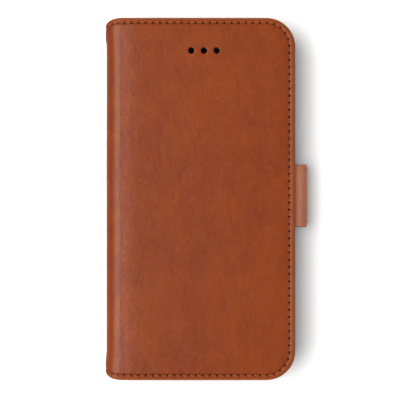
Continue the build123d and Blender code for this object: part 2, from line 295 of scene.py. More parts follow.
def sheet(name, edge, profile, lay, lattice, material, needles=(), pit=0.0, holes=(), **more):
    """A closed sheet of leather with a worked edge, from its flat shape.

    profile runs (d, n) from the visible face, round the edge, to the hidden face. lay puts
    flat points at a depth into space. Each hole is (rings, hem): rings are (loop, n) on the
    visible face from the cut edge outwards, and hem goes on from the cut edge to the hidden
    face as (ring number, n). Round each needle hole the visible face is pricked to a depth
    of pit and darkened with painted shade. more may hold relief(p), extra depth of the visible
    face, tone(d, n), how burnished the edge is along with any painted light or shade on it,
    wear(p), painted light for the face, and spacing along the edge.
    """
    relief = more.get("relief", lambda p: np.zeros(len(p)))
    tone = more.get("tone", lambda d, n: 0.0)
    wear = more.get("wear", lambda p: np.zeros(len(p)))
    needles = np.asarray(needles, float)
    u = edge.samples(needles, more.get("spacing", 2.0))
    count = len(u)
    away = np.abs(u[:, None] - needles[None, :]).min(1) if len(needles) else np.full(count, 9.0)
    verts, tones, faces = [], [], []

    # The worked edge, row by row. Rows before the nose that lie near the face are shown.
    face_rows = max(k for k, (d, n) in enumerate(profile) if n < profile[0][1] + 0.4) + 1
    turn = int(np.argmin([d for d, _ in profile]))
    for k, (d, n) in enumerate(profile):
        points = edge.at(u, d)
        hole = np.exp(-((away / HOLE_LENGTH) ** 4) - ((d - SEAM_HOLES) / HOLE_WIDTH) ** 2)
        shown = k < min(turn, face_rows)
        depth = n + (pit * hole + relief(points) if shown else 0.0)
        verts.append(lay(points, depth))
        # On the shown face, needle holes are darkened with painted shade, and the face's painted light
        # is added.
        painted_hole_shade = hole * (1.2 if shown and pit else 0.0)
        painted_face_lift = wear(points) if shown else 0.0
        tones.append(np.clip(painted_hole_shade + (tone(d, n) + painted_face_lift) * (1 - hole), -1, 1))
    verts = list(np.vstack(verts))
    tones = list(np.concatenate([row + np.zeros(count) for row in tones]))
    wrap_count = count if edge.closed else count - 1
    for j in range(len(profile) - 1):
        for i in range(wrap_count):
            a, b = j * count + i, j * count + (i + 1) % count
            faces.append((a, b, b + count, a + count))

    # The flat faces within the first and last row, which share one set of triangles.
    ring = edge.at(u, profile[0][0])
    mouth = np.zeros((0, 2))
    if not edge.closed:
        steps = max(2, int(abs(ring[0, 1] - ring[-1, 1]) / 2.2))
        t = np.linspace(0, 1, steps + 1)[1:-1, None]
        mouth = ring[-1] + t * (ring[0] - ring[-1])
    boundary = np.vstack([ring, mouth])
    lattice = lattice[inside(boundary, lattice)]
    lattice = lattice[~near(boundary, lattice, 0.45)]
    rings, depths = [], []
    for lip, _ in holes:
        rings += [loop for loop, _ in lip]
        depths += [np.full(len(loop), n) for loop, n in lip]
        lattice = lattice[~(inside(lip[-1][0], lattice) | near(lip[-1][0], lattice, 0.5))]
    flat, triangles = triangulate(boundary, rings, lattice)
    centres = flat[triangles].mean(1)
    solid = np.ones((2, len(triangles)), bool)
    for lip, hem in holes:
        solid[0] &= ~inside(lip[0][0], centres)
        solid[1] &= ~inside(lip[hem[-1][0]][0], centres)
    lips = np.concatenate([np.zeros(len(mouth)), *depths, np.zeros(len(lattice))])
    inner = flat[count:]
    top_n, low_n = profile[0][1], profile[-1][1]
    maps = []
    # The top face's tone: darker lips round punched holes, plus the face's painted light.
    for side, (first, depth, shade) in enumerate((
        (0, top_n + lips + relief(inner), np.clip(lips * 1.6, 0, 0.8) + wear(inner)),
        ((len(profile) - 1) * count, np.full(len(inner), low_n), np.zeros(len(inner))),
    )):
        used = np.concatenate([first + np.arange(count), len(verts) + np.arange(len(inner))])
        verts += list(lay(inner, depth))
        tones += list(shade)
        maps.append(used)
        faces += [tuple(int(used[k]) for k in tri) for tri in triangles[solid[side]]]

    # The walls of the holes.
    first = count + len(mouth)
    for lip, hem in holes:
        size = len(lip[0][0])
        above = [int(v) for v in maps[0][first : first + size]]
        for ring_number, n in hem[:-1]:
            below = list(range(len(verts), len(verts) + size))
            verts += list(lay(lip[ring_number][0], np.full(size, n)))
            tones += [0.8] * size
            faces += band(above, below)
            above = below
        start = first + hem[-1][0] * size
        faces += band(above, [int(v) for v in maps[1][start : start + size]])
        first += size * len(lip)

    # The cut across the sheet's mouth.
    cap = []
    if not edge.closed:
        start = [j * count for j in range(len(profile))]
        end = [j * count + count - 1 for j in range(len(profile))]
        top = [int(maps[0][count + k]) for k in range(len(mouth))]
        low = [int(maps[1][count + k]) for k in range(len(mouth))]
        cap = start[::-1] + top[::-1] + end + low
        faces.append(tuple(cap))
    return make_object(name, verts, faces, material, tones, list(zip(cap, cap[1:] + cap[:1])))


def seam(name, edge, needles, lay, depth, dip):
    """The thread of a seam: one bent length from each needle hole to the next.

    depth is the thread's middle below the outer face, and dip how far its ends go down.
    """
    needles = np.asarray(needles, float)
    pairs = [(a, b) for a, b in zip(needles, needles[1:]) if b - a < 1.3 * PITCH]
    centre = np.array([(a + b) / 2 for a, b in pairs])
    t = np.linspace(-1, 1, 11)
    u = centre[:, None] + t[None, :] * STITCH_HALF
    across = SEAM - THREAD_OUT * (1 - t[None, :] ** 2) + THREAD_SLANT * t[None, :] + 0 * u
    flat = edge.at(u.ravel(), across.ravel())
    base = depth(flat) if callable(depth) else np.full(len(flat), float(depth))
    bend = np.tile((dip * np.abs(t) ** 5), len(pairs))
    middle = lay(flat, base + bend).reshape(*u.shape, 3)
    up = lay(flat, base + bend - 0.1).reshape(*u.shape, 3) - middle
    return tubes(name, middle, up)


def tubes(name, middle, up, sides=8):
    """Closed tubes along rows of points, with up as each point's outward direction."""
    along = np.gradient(middle, axis=1)
    along /= np.linalg.norm(along, axis=2, keepdims=True)
    across = np.cross(up, along)
    across /= np.linalg.norm(across, axis=2, keepdims=True)
    over = np.cross(along, across)
    a = np.arange(sides) * 2 * PI / sides
    rows, steps = middle.shape[:2]
    r = THREAD * (1 - 0.3 * np.abs(np.linspace(-1, 1, steps)) ** 4)[None, :, None, None]
    ring = (
        middle[:, :, None, :]
        + across[:, :, None, :] * (1.12 * np.cos(a))[None, None, :, None] * r
        + over[:, :, None, :] * (0.9 * np.sin(a))[None, None, :, None] * r
    )
    faces = []
    for row in range(rows):
        base = row * steps * sides
        for k in range(steps - 1):
            for j in range(sides):
                m = (j + 1) % sides
                p = base + k * sides
                faces.append((p + j, p + m, p + sides + m, p + sides + j))
        last = base + (steps - 1) * sides
        faces.append(tuple(base + j for j in range(sides))[::-1])
        faces.append(tuple(last + j for j in range(sides)))
    return make_object(name, ring.reshape(-1, 3), faces, THREAD_LOOK)


def lattice_of(xs, ys):
    """The loose points that a sheet's flat faces are triangulated over."""
    gx, gy = np.meshgrid(xs, ys, indexing="ij")
    return np.stack([gx.ravel(), gy.ravel()], -1)


# ---------------------------------------------------------------- materials
def new_material(name):
    """An empty material with its principled shader."""
    material = bpy.data.materials.new(name)
    material.use_nodes = True
    tree = material.node_tree
    tree.nodes.clear()
    output = tree.nodes.new("ShaderNodeOutputMaterial")
    shader = tree.nodes.new("ShaderNodeBsdfPrincipled")
    tree.links.new(shader.outputs[0], output.inputs[0])
    return material, tree, shader


def node(tree, kind, **settings):
    """A shader node. A setting named in_X sets the input X."""
    made = tree.nodes.new(kind)
    for key, value in settings.items():
        if key.startswith("in_"):
            made.inputs[key[3:].replace("_", " ")].default_value = value
        else:
            setattr(made, key, value)
    return made


def ramp(tree, source, stops):
    """A colour ramp over source, from (position, colour) stops."""
    made = tree.nodes.new("ShaderNodeValToRGB")
    elements = made.color_ramp.elements
    while len(elements) < len(stops):
        elements.new(0.5)
    for element, (place_at, colour) in zip(elements, stops):
        element.position = place_at
        element.color = (*colour, 1.0)
    tree.links.new(source, made.inputs[0])
    return made.outputs[0]


def mix_colour(tree, kind, factor, a, b):
    """Two colours mixed. Each value is a number, a colour or another node's output."""
    made = tree.nodes.new("ShaderNodeMix")
    made.data_type = "RGBA"
    made.blend_type = kind
    for socket, value in ((0, factor), (6, a), (7, b)):
        if hasattr(value, "links"):
            tree.links.new(value, made.inputs[socket])
        elif socket == 0:
            made.inputs[0].default_value = value
        else:
            made.inputs[socket].default_value = (*value, 1.0)
    return made.outputs[2]


def math_node(tree, operation, a, b=None, clamp=False):
    """A sum on numbers or other nodes' outputs."""
    made = tree.nodes.new("ShaderNodeMath")
    made.operation = operation
    made.use_clamp = clamp
    for socket, value in ((0, a), (1, b)):
        if value is None:
            continue
        if hasattr(value, "links"):
            tree.links.new(value, made.inputs[socket])
        else:
            made.inputs[socket].default_value = value
    return made.outputs[0]


def leather(name, dark, mid, light, rough, grain=1.0, specular=0.5):
    """Polished leather: clouded colour, fine pebbled grain, darker burnished edges with painted shade in
    needle holes and seam grooves, and paler places of painted light.

    The pattern follows the leather's resting place, so it stays on it when it moves.
    """
    material, tree, shader = new_material(name)
    where = node(tree, "ShaderNodeAttribute", attribute_name="rest").outputs["Vector"]
    drawn = node(tree, "ShaderNodeMapping")
    drawn.inputs["Scale"].default_value = (1.0, 0.72, 1.0)
    tree.links.new(where, drawn.inputs[0])
    total = None
    clouds = []
    for scale, detail, share in ((38.0, 3.0, 0.34), (130.0, 4.0, 0.36), (520.0, 5.0, 0.30)):
        noise = node(tree, "ShaderNodeTexNoise", in_Scale=scale, in_Detail=detail, in_Roughness=0.6)
        noise.inputs["Distortion"].default_value = 0.35
        tree.links.new(drawn.outputs[0], noise.inputs["Vector"])
        clouds.append(noise.outputs["Fac"])
        part = math_node(tree, "MULTIPLY", noise.outputs["Fac"], share)
        total = part if total is None else math_node(tree, "ADD", total, part)
    colour = ramp(tree, total, [(0.40, dark), (0.5, mid), (0.60, light)])
    pores = node(tree, "ShaderNodeTexNoise", in_Scale=2100.0, in_Detail=3.0)
    tree.links.new(where, pores.inputs["Vector"])
    fleck = ramp(tree, pores.outputs["Fac"], [(0.34, (0.74,) * 3), (0.56, (1.06,) * 3)])
    colour = mix_colour(tree, "MULTIPLY", 0.6, colour, fleck)
    burnish_and_painted_light = node(tree, "ShaderNodeAttribute", attribute_name="burnish_and_painted_light").outputs["Fac"]
    # The darker colour for burnished edges and for painted shade in needle holes and seam grooves.
    deep = tuple(share * c for share, c in zip((0.16, 0.03, 0.02), dark))
    colour = mix_colour(tree, "MIX", math_node(tree, "MAXIMUM", burnish_and_painted_light, 0.0), colour, deep)
    # Negative tone pales the colour: a painted highlight on edge crests and painted light on the strap.
    painted_lightening = math_node(tree, "MAXIMUM", math_node(tree, "MULTIPLY", burnish_and_painted_light, -1.0), 0.0)
    painted_light_colour = tuple(min(1.0, gain * c) for gain, c in zip((1.75, 2.2, 2.6), light))
    colour = mix_colour(tree, "MIX", painted_lightening, colour, painted_light_colour)
    tree.links.new(colour, shader.inputs["Base Color"])
    low, high = rough
    rough_out = ramp(tree, total, [(0.40, (high,) * 3), (0.60, (low,) * 3)])
    dull = math_node(tree, "MULTIPLY", math_node(tree, "MAXIMUM", burnish_and_painted_light, 0.0), 0.4)
    tree.links.new(math_node(tree, "ADD", rough_out, dull, True), shader.inputs["Roughness"])
    shader.inputs["Specular IOR Level"].default_value = specular
    pebble = node(tree, "ShaderNodeTexVoronoi", feature="DISTANCE_TO_EDGE", in_Scale=1450.0)
    tree.links.new(where, pebble.inputs["Vector"])
    pebbles = ramp(tree, pebble.outputs["Distance"], [(0.0, (0.0,) * 3), (0.22, (1.0,) * 3)])
    height = math_node(tree, "MULTIPLY", pebbles, 0.02)
    height = math_node(tree, "ADD", height, math_node(tree, "MULTIPLY", clouds[2], 0.12))
    height = math_node(tree, "ADD", height, math_node(tree, "MULTIPLY", clouds[1], 0.3))
    bump = node(tree, "ShaderNodeBump")
    bump.inputs["Strength"].default_value = 0.6 * grain
    bump.inputs["Distance"].default_value = 0.001
    tree.links.new(height, bump.inputs["Height"])
    tree.links.new(bump.outputs[0], shader.inputs["Normal"])
    return material


def mottled(name, low, high, rough, scale, bump_height=0.05, metallic=0.0, specular=0.5):
    """Fine mottled surface for thread, board, plastic and metal."""
    material, tree, shader = new_material(name)
    where = node(tree, "ShaderNodeTexCoord").outputs["Object"]
    noise = node(tree, "ShaderNodeTexNoise", in_Scale=scale, in_Detail=4.0)
    tree.links.new(where, noise.inputs["Vector"])
    colour = ramp(tree, noise.outputs["Fac"], [(0.35, low), (0.65, high)])
    tree.links.new(colour, shader.inputs["Base Color"])
    rough_out = ramp(tree, noise.outputs["Fac"], [(0.3, (rough[0],) * 3), (0.7, (rough[1],) * 3)])
    tree.links.new(rough_out, shader.inputs["Roughness"])
    shader.inputs["Metallic"].default_value = metallic
    shader.inputs["Specular IOR Level"].default_value = specular
    bump = node(tree, "ShaderNodeBump")
    bump.inputs["Strength"].default_value = 0.5
    bump.inputs["Distance"].default_value = 0.001
    tree.links.new(math_node(tree, "MULTIPLY", noise.outputs["Fac"], bump_height), bump.inputs["Height"])
    tree.links.new(bump.outputs[0], shader.inputs["Normal"])
    return material


COVER = leather(
    "cover_leather", (0.119, 0.0184, 0.0022), (0.136, 0.0230, 0.0027), (0.155, 0.0287, 0.0040),
    rough=(0.27, 0.37), specular=0.31,
)
# The strap leather is paler than the cover's: partly its own tone, partly painted light lifting the
# shade the front cover's edge casts on it.
STRAP_PAINTED_PALER = leather(
    "strap_leather", (0.245, 0.074, 0.034), (0.27, 0.086, 0.042), (0.295, 0.098, 0.050),
    rough=(0.34, 0.46), specular=0.36,
)
LINING = leather(
    "lining_leather", (0.10, 0.022, 0.006), (0.125, 0.029, 0.0085), (0.15, 0.037, 0.012),
    rough=(0.5, 0.62), grain=1.3, specular=0.4,
)
THREAD_LOOK = mottled(
    "thread", (0.17, 0.044, 0.015), (0.28, 0.082, 0.033), rough=(0.6, 0.75), scale=1800.0, specular=0.15,
)
BOARD = mottled(
    "fibre_board", (0.16, 0.12, 0.08), (0.24, 0.19, 0.13), rough=(0.75, 0.9), scale=1200.0,
)
TRAY = mottled(
    "tray_plastic", (0.012, 0.011, 0.010), (0.022, 0.020, 0.018),
    rough=(0.42, 0.55), scale=2200.0, bump_height=0.02,
)
METAL = mottled(
    "magnet_plate", (0.42, 0.42, 0.43), (0.55, 0.55, 0.56),
    rough=(0.25, 0.4), scale=1500.0, bump_height=0.01, metallic=1.0,
)


# ---------------------------------------------------------------- covers
def wrap(s):
    """The outer face of the front leather at s, and its outward normal: x, z, nx, nz."""
    phi = np.clip((s - S_FLAT) / CREASE, 0, PI / 2)
    x = X_RIGHT - np.minimum(s, S_FLAT) - CREASE * np.sin(phi) - BOW * smooth((s - S_ARC + 5) / 7)
    z = Z_TOP - CREASE + CREASE * np.cos(phi) - np.maximum(s - S_ARC, 0)
    return x, z, -np.sin(phi), np.cos(phi)


def cover_depth(s, y, n):
    """Depth in space: no board lies in the crease and spine, and hems swell the spine's ends.

    The leather is pared on its way into the fold, so that its face falls away before it turns.
    """
    bare = smooth((s - S_FLAT - 0.2) / 3.4)
    full = [-1, 0, SKIN_DEPTH, HEM_TOP, HEM_LOW, LINING_LOW]
    thin = np.interp(n, full, [-1, 0, 0.75, 0.82, 1.15, 1.4])
    swell = SWELL * smooth((s - S_FLAT - 2.0) / 6.0) * smooth((np.abs(y) - 63.6) / 3.6)
    pared = PARING * smooth((s - S_FLAT + 5.5) / 7.0) * (1 - smooth((s - S_FLAT - 1.5) / 7.0))
    return n + (thin - n) * bare - swell + pared * np.clip((SKIN_DEPTH - n) / 0.47, 0, 1)


def lay_front(flat, n):
    """Points of the front leather from (s, y) and depth, in the frame's axes."""
    s, y = flat[:, 0], flat[:, 1]
    share = np.clip((s - S_FLAT) / (CREASE * PI / 2), 0, 1.04)
    x, z, nx, nz = wrap(s)
    depth = cover_depth(s, y, n)
    return np.stack([x - depth * nx, y * (1 - END_DROP * share**1.6 / HALF), z - depth * nz], -1)


def lay_back(flat, n):
    """The back leather: the front one mirrored across the case's middle."""
    points = lay_front(flat, n)
    points[:, 2] = Z_TOP - points[:, 2]
    return points


def cover_relief(p):
    """The leather's slight unevenness over the board, in millimetres."""
    s, y = p[:, 0], p[:, 1]
    wave = np.sin(s * 0.13 + 0.9 * np.sin(y * 0.045)) * np.sin(y * 0.083 + 0.7 * np.sin(s * 0.09))
    fine = np.sin(s * 0.31 + y * 0.17) * np.sin(y * 0.23 - s * 0.11)
    return 0.035 * wave + 0.012 * fine


# How far in from the edge the worked edge ends and the flat face begins.
INNER = 5.5

# Cross-section of the turned edge: down into the seam's groove, over the puffed rim, round
# the edge, along the hem turned inside and back under the face.
SKIN_PROFILE = [
    (INNER, 0.0), (5.2, 0.0), (4.2, 0.01), (3.4, 0.03), (2.9, 0.06), (2.65, 0.11), (2.45, 0.18),
    (2.28, 0.25), (2.14, 0.29), (2.0, 0.31), (1.86, 0.29), (1.72, 0.24), (1.58, 0.17), (1.42, 0.10),
    (1.26, 0.06), (1.1, 0.06), (0.95, 0.09), (0.78, 0.15), (0.6, 0.25), (0.42, 0.38), (0.27, 0.53),
    (0.14, 0.71), (0.05, 0.9), (0.0, 1.1), (0.02, 1.3), (0.09, 1.5), (0.22, 1.7), (0.4, 1.87),
    (0.62, 2.02), (0.88, 2.13), (1.2, 2.19), (1.6, HEM_LOW), (3.0, HEM_LOW), (5.0, HEM_LOW),
    (5.05, 2.1), (5.0, HEM_TOP), (3.0, HEM_TOP), (0.84, HEM_TOP), (0.76, 1.76), (0.76, 0.9),
    (0.84, SKIN_DEPTH), (3.0, SKIN_DEPTH), (INNER, SKIN_DEPTH),
]
LINING_PROFILE = [
    (INNER, 2.4), (5.25, 2.4), (5.0, LINING_LOW), (3.4, 2.43), (2.6, 2.40), (2.3, 2.36), (2.0, 2.34),
    (1.75, 2.37), (1.55, 2.42), (1.42, 2.42), (1.31, 2.38), (1.26, 2.3), (1.28, 2.22), (1.6, 2.205),
    (5.12, 2.205), (5.12, 1.82), (INNER, 1.82),
]


def skin_tone(d, n):
    """Tone of the turned edge: painted shade along the seam's groove, darker under the nose, and a
    painted highlight paling its crest above.
    """
    # Painted shade in the seam's groove, and a painted highlight on the rounded crest of the edge.
    painted_seam_shade = 0.12 * math.exp(-(((d - SEAM - 0.3) / 0.4) ** 2)) if n < 0.5 else 0.0
    painted_crest_highlight = -0.42 * math.exp(-(((d - 0.45) / 0.5) ** 2)) if n < 0.95 else 0.0
    nose = 0.1 * float(smooth((n - 0.9) / 0.4)) if d < 1.0 else 0.2 * (n > 1)
    return painted_seam_shade + painted_crest_highlight + nose


cover_edge = Edge(
    [(S_MID, HALF), (0, HALF), (0, -HALF), (S_MID, -HALF)],
    [0, CORNER, CORNER, 0], SEAM, gain=SIDE_GAIN,
)
cover_needles = np.linspace(0, cover_edge.length, round(cover_edge.length / PITCH) + 1)
cover_lattice = lattice_of(
    np.concatenate([np.arange(1.6, S_FLAT - 1.0, 2.2), np.arange(S_FLAT - 0.8, S_MID - 0.3, 0.42)]),
    np.arange(-HALF + 1.0, HALF, 2.2),
)

# Rounded edges of holes, as (out from the cut, depth), and the camera window's hem, which
# goes down and back outwards inside, as (number of the lip's ring, depth).
LIP = [(0.0, 0.34), (0.07, 0.17), (0.18, 0.06), (0.36, 0.01), (0.75, 0.0)]
LINING_LIP = [(0.0, 0.1), (0.08, 0.02), (0.25, 0.0)]
WINDOW_HEM = [(0, SKIN_DEPTH), (0, 1.78), (4, 1.78), (4, SKIN_DEPTH)]


def ear_holes(lip, low):
    """Holes punched straight through."""
    return [
        ([(circle(X_RIGHT - x, HOLE_Y, HOLE + e), n) for e, n in lip], [(0, low)]) for x in HOLE_X
    ]


def window_hole(lip, low):
    """The camera window, with the leather turned in through the board."""
    x, y, w, h = WINDOW
    hem = WINDOW_HEM if lip is LIP else [(0, low)]
    return [([(pill(X_RIGHT - x, y, w, h, e), n) for e, n in lip], hem)]


def bend_ends(x, z, radius, outward):
    """Two points across a rounded bend, on either side of its middle."""
    middle = Vector((x, 0.0, z))
    step = Vector((outward[0], 0.0, outward[1])) * (0.65 * radius)
    return (middle - step) * MM, (middle + step) * MM


CREASE_ENDS = {
    "front": bend_ends(X_CREASE, Z_TOP - CREASE, CREASE, (-1, -1)),
    "back": bend_ends(X_CREASE, CREASE, CREASE, (-1, 1)),
}


def cover(side, lay, hole):
    """The leather, lining and seam of one cover with its half of the spine."""
    skin = sheet(
        f"{side}_cover_leather", cover_edge, SKIN_PROFILE, lay, cover_lattice, COVER,
        cover_needles, 0.5, hole(LIP, SKIN_DEPTH), relief=cover_relief, tone=skin_tone,
    )
    lining = sheet(
        f"{side}_cover_lining", cover_edge, LINING_PROFILE, lay, cover_lattice, LINING,
        cover_needles, 0.0, hole(LINING_LIP, 1.82),
    )
    outer = seam(f"{side}_cover_thread", cover_edge, cover_needles, lay, 0.16, 0.5)
    face = pocket_stack if side == "front" else LINING_FACE
    inner = seam(f"{side}_inner_thread", cover_edge, cover_needles, lay, face, -0.35)
    start, end = CREASE_ENDS[side]
    for piece, name in ((skin, "leather"), (lining, "lining"), (outer, "thread"), (inner, "thread")):
        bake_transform(piece)
        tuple(start)
        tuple(end)
    return skin, lining, outer


# ---------------------------------------------------------------- pockets
POCKETS = ("cash_pocket_panel", "card_slot_upper", "card_slot_middle", "card_slot_lower")
MOUTHS = [box_mm(name)[1][1] for name in POCKETS]
POCKET_PROFILE = [
    (1.0, 0.0), (0.7, 0.0), (0.4, 0.02), (0.2, 0.08), (0.06, 0.17), (0.0, 0.27), (0.04, 0.38),
    (0.15, 0.46), (0.35, 0.5), (1.0, 0.5),
]
POCKET_CORNER = CORNER - 1.2
POCKET_ROUND = 1.2

# The line pressed below each mouth, and the place and first stitch of the card slots' row.
PRESSED = 1.7
CARD_SEAM = box_mm("card_slot_stitching")[1][0] - 0.25
CARD_START = 1.2


def pocket_stack(flat):
    """Depth of the inner face's top layer: the lining, or the pocket sheets sewn over it."""
    depth = np.full(len(flat), LINING_FACE)
    for name in POCKETS:
        low, high = box_mm(name)
        x = X_RIGHT - flat[:, 0]
        over = (x > low[0]) & (flat[:, 1] < high[1])
        depth = np.where(over, Z_TOP - low[2] - 0.04, depth)
    return depth


def pocket(name, below):
    """One pocket sheet: square at its mouth, rounded to the cover's corner at the bottom.

    It is seen as far down as below, where the next pocket lies over it.
    """
    low, high = box_mm(name)
    corners = [(low[0], low[1]), (high[0], low[1]), (high[0], high[1]), (low[0], high[1])]
    radii = [POCKET_ROUND, POCKET_CORNER, POCKET_ROUND, POCKET_ROUND]
    edge = Edge(corners, radii, 0.0, closed=True)
    mouth = high[1]

    def lay(flat, n):
        return np.column_stack([flat, low[2] + n + np.zeros(len(flat))])

    def relief(p):
        """A line pressed below the mouth, and the sunk row of card stitches."""
        line = 0.1 * np.exp(-(((mouth - PRESSED - p[:, 1]) / 0.28) ** 2))
        row = 0.12 * np.exp(-(((p[:, 0] - CARD_SEAM) / 0.3) ** 2)) if "card" in name else 0.0
        shown = (p[:, 1] > below) & (p[:, 0] > low[0] + 0.7) & (p[:, 0] < high[0] - 0.7)
        return (line + row) * shown

    xs = np.concatenate([np.arange(low[0] + 2.4, high[0], 2.6), CARD_SEAM + np.arange(-3, 4) * 0.22])
    ys = np.concatenate(
        [np.arange(low[1] + 1.6, mouth - 3, 2.6), mouth - PRESSED + np.arange(-4, 5) * 0.16]
    )
    piece = sheet(
        f"{name}_leather", edge, POCKET_PROFILE, lay, lattice_of(xs, ys), LINING,
        relief=relief, tone=lambda d, n: 0.3 * (d < 0.3), spacing=2.6,
    )
    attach(piece, "front_cover")
    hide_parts(name)


def card_thread():
    """The row of stitches down the free edge of the card slots."""
    rows = []
    t = np.linspace(-1, 1, 11)
    stops = MOUTHS[2:] + [-HALF + SEAM + PITCH]
    for name, mouth, stop in zip(POCKETS[1:], MOUTHS[1:], stops):
        z = box_mm(name)[0][2] + 0.08 + 0.3 * np.abs(t) ** 5
        for k in range(int((mouth - CARD_START - stop) / PITCH)):
            centre = mouth - CARD_START - (k + 0.5) * PITCH
            rows.append(np.stack([CARD_SEAM + 0.12 * t, centre - t * STITCH_HALF, z], -1))
    rows = np.array(rows)
    up = np.zeros_like(rows)
    up[..., 2] = -0.1
    piece = tubes("card_slot_thread", rows, up)
    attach(piece, "front_cover")
    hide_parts("card_slot_stitching")


# ---------------------------------------------------------------- strap
STRAP_Y = (STRAP_LO[1] + STRAP_HI[1]) / 2
STRAP_HALF = (STRAP_HI[1] - STRAP_LO[1]) / 2
STRAP_MID = (ANCHOR_LO[2] + TIP_HI[2]) / 2
STRAP_OUT = STRAP_HI[0]
STRAP_NARROW = 0.006

# Its upper bend, how far its root goes in under the back cover, and the corners of its ends.
STRAP_BEND = 4.4
STRAP_CENTRE = (STRAP_OUT - STRAP_BEND, TIP_HI[2] - STRAP_BEND)
ROOT_REACH = 12.0
ROOT_CORNER = 3.4
TIP_CORNER = 8.0

# Needles are counted from FIRST_NEEDLE off the middle of the strap's side, and those of
# NO_NEEDLE are left out at both ends of the row.
FIRST_NEEDLE = 1.7
NO_NEEDLE = {0, 2, 3}

STRAP_INNER = 3.2
STRAP_PROFILE = [
    (STRAP_INNER, 0.0), (2.8, 0.0), (2.5, 0.02), (2.25, 0.06), (2.0, 0.08), (1.75, 0.06),
    (1.5, 0.03), (1.2, 0.02), (0.9, 0.05), (0.66, 0.12), (0.45, 0.2), (0.27, 0.31), (0.13, 0.45),
    (0.03, 0.62), (0.0, 0.76), (0.04, 0.9), (0.15, 1.02), (0.35, 1.1), (0.7, 1.13), (2.4, 1.13),
    (2.44, 1.06), (2.4, 0.97), (0.95, 0.97), (0.86, 0.9), (0.86, 0.8), (0.95, 0.74),
    (STRAP_INNER, 0.74),
]
STRAP_LINING_PROFILE = [
    (STRAP_INNER, 1.38), (2.6, 1.38), (2.2, 1.34), (2.0, 1.32), (1.8, 1.34), (1.4, 1.38),
    (1.0, 1.37), (0.82, 1.32), (0.76, 1.24), (0.8, 1.16), (1.0, 1.135), (2.52, 1.135),
    (2.52, 0.78), (STRAP_INNER, 0.78),
]


def strap_line():
    """The strap's outer face from the middle of its side to its tip, as t, x, z and normals."""
    a = np.linspace(0, PI / 2, 80)
    x = STRAP_CENTRE[0] + STRAP_BEND * np.cos(a)
    z = STRAP_CENTRE[1] + STRAP_BEND * np.sin(a)
    side_z = np.linspace(STRAP_MID, z[0], 30)[:-1]
    flat_x = np.linspace(x[-1], TIP_LO[0] - 1, 60)[1:]
    x = np.concatenate([np.full_like(side_z, STRAP_OUT), x, flat_x])
    z = np.concatenate([side_z, z, np.full_like(flat_x, TIP_HI[2])])
    t = np.concatenate([[0], np.cumsum(np.hypot(np.diff(x), np.diff(z)))])
    dx, dz = np.gradient(x, t), np.gradient(z, t)
    return t, x, z, dz, -dx


STRAP_T, STRAP_X, STRAP_Z, STRAP_NX, STRAP_NZ = strap_line()


def strap_t(x):
    """How far along the strap its flat stretch reaches x."""
    return float(np.interp(-x, -STRAP_X, STRAP_T))


TIP_T = strap_t(TIP_LO[0])
CORE_T = strap_t(CORE_HI[0] + 1.0)
ROOT_T = strap_t(X_RIGHT - ROOT_REACH)
EDGE_T = strap_t(X_RIGHT + 0.3)
BEND_T = STRAP_CENTRE[1] - STRAP_MID + 0.3 * STRAP_BEND


def lay_strap(flat, depth):
    """Points of the strap from (t, y) and depth, a little narrower across its side."""
    t, y = flat[:, 0], flat[:, 1]
    x, z, nx, nz = (np.interp(t, STRAP_T, v) for v in (STRAP_X, STRAP_Z, STRAP_NX, STRAP_NZ))
    narrow = 1 - STRAP_NARROW * (1 - smooth(t / 5.5))
    return np.stack([x - depth * nx, STRAP_Y + y * narrow, z - depth * nz], -1)


def lay_tip(flat, n):
    """The upper half of the strap, thicker where the stiff core lies in the tip."""
    stiff = smooth((flat[:, 0] - CORE_T) / 1.6)
    n = np.asarray(n, float) + np.zeros(len(flat))
    deep = np.interp(n, [-1, 0, 0.74, 0.97, 1.14, 1.4], [-1, 0, 0.78, 1.62, 1.86, 2.2])
    return lay_strap(flat, n + (deep - n) * stiff)


def lay_root(flat, n):
    """The lower half, pressed thinner where it is sewn into the back cover's edge."""
    sewn = smooth((flat[:, 0] - EDGE_T + 0.6) / 1.3)
    n = np.asarray(n, float) + np.zeros(len(flat))
    points = lay_strap(flat, n + (0.44 + 0.66 * n - n) * sewn)
    points[:, 2] = 2 * STRAP_MID - points[:, 2]
    return points


def strap_wear(p):
    """Painted light on the strap: paler where the front cover's edge shades it and round its bend, whose
    outer side lies in shade.
    """
    under_cover = 0.75 * np.exp(-(((p[:, 0] - EDGE_T) / 1.5) ** 2))
    bend = 0.4 * np.exp(-(((p[:, 0] - BEND_T) / 1.0) ** 2))
    return -under_cover - bend


def strap_tone(d, n):
    """Burnish of the strap's edge."""
    return 0.3 * float(smooth((n - 0.2) / 0.4)) if d < 0.8 else 0.0


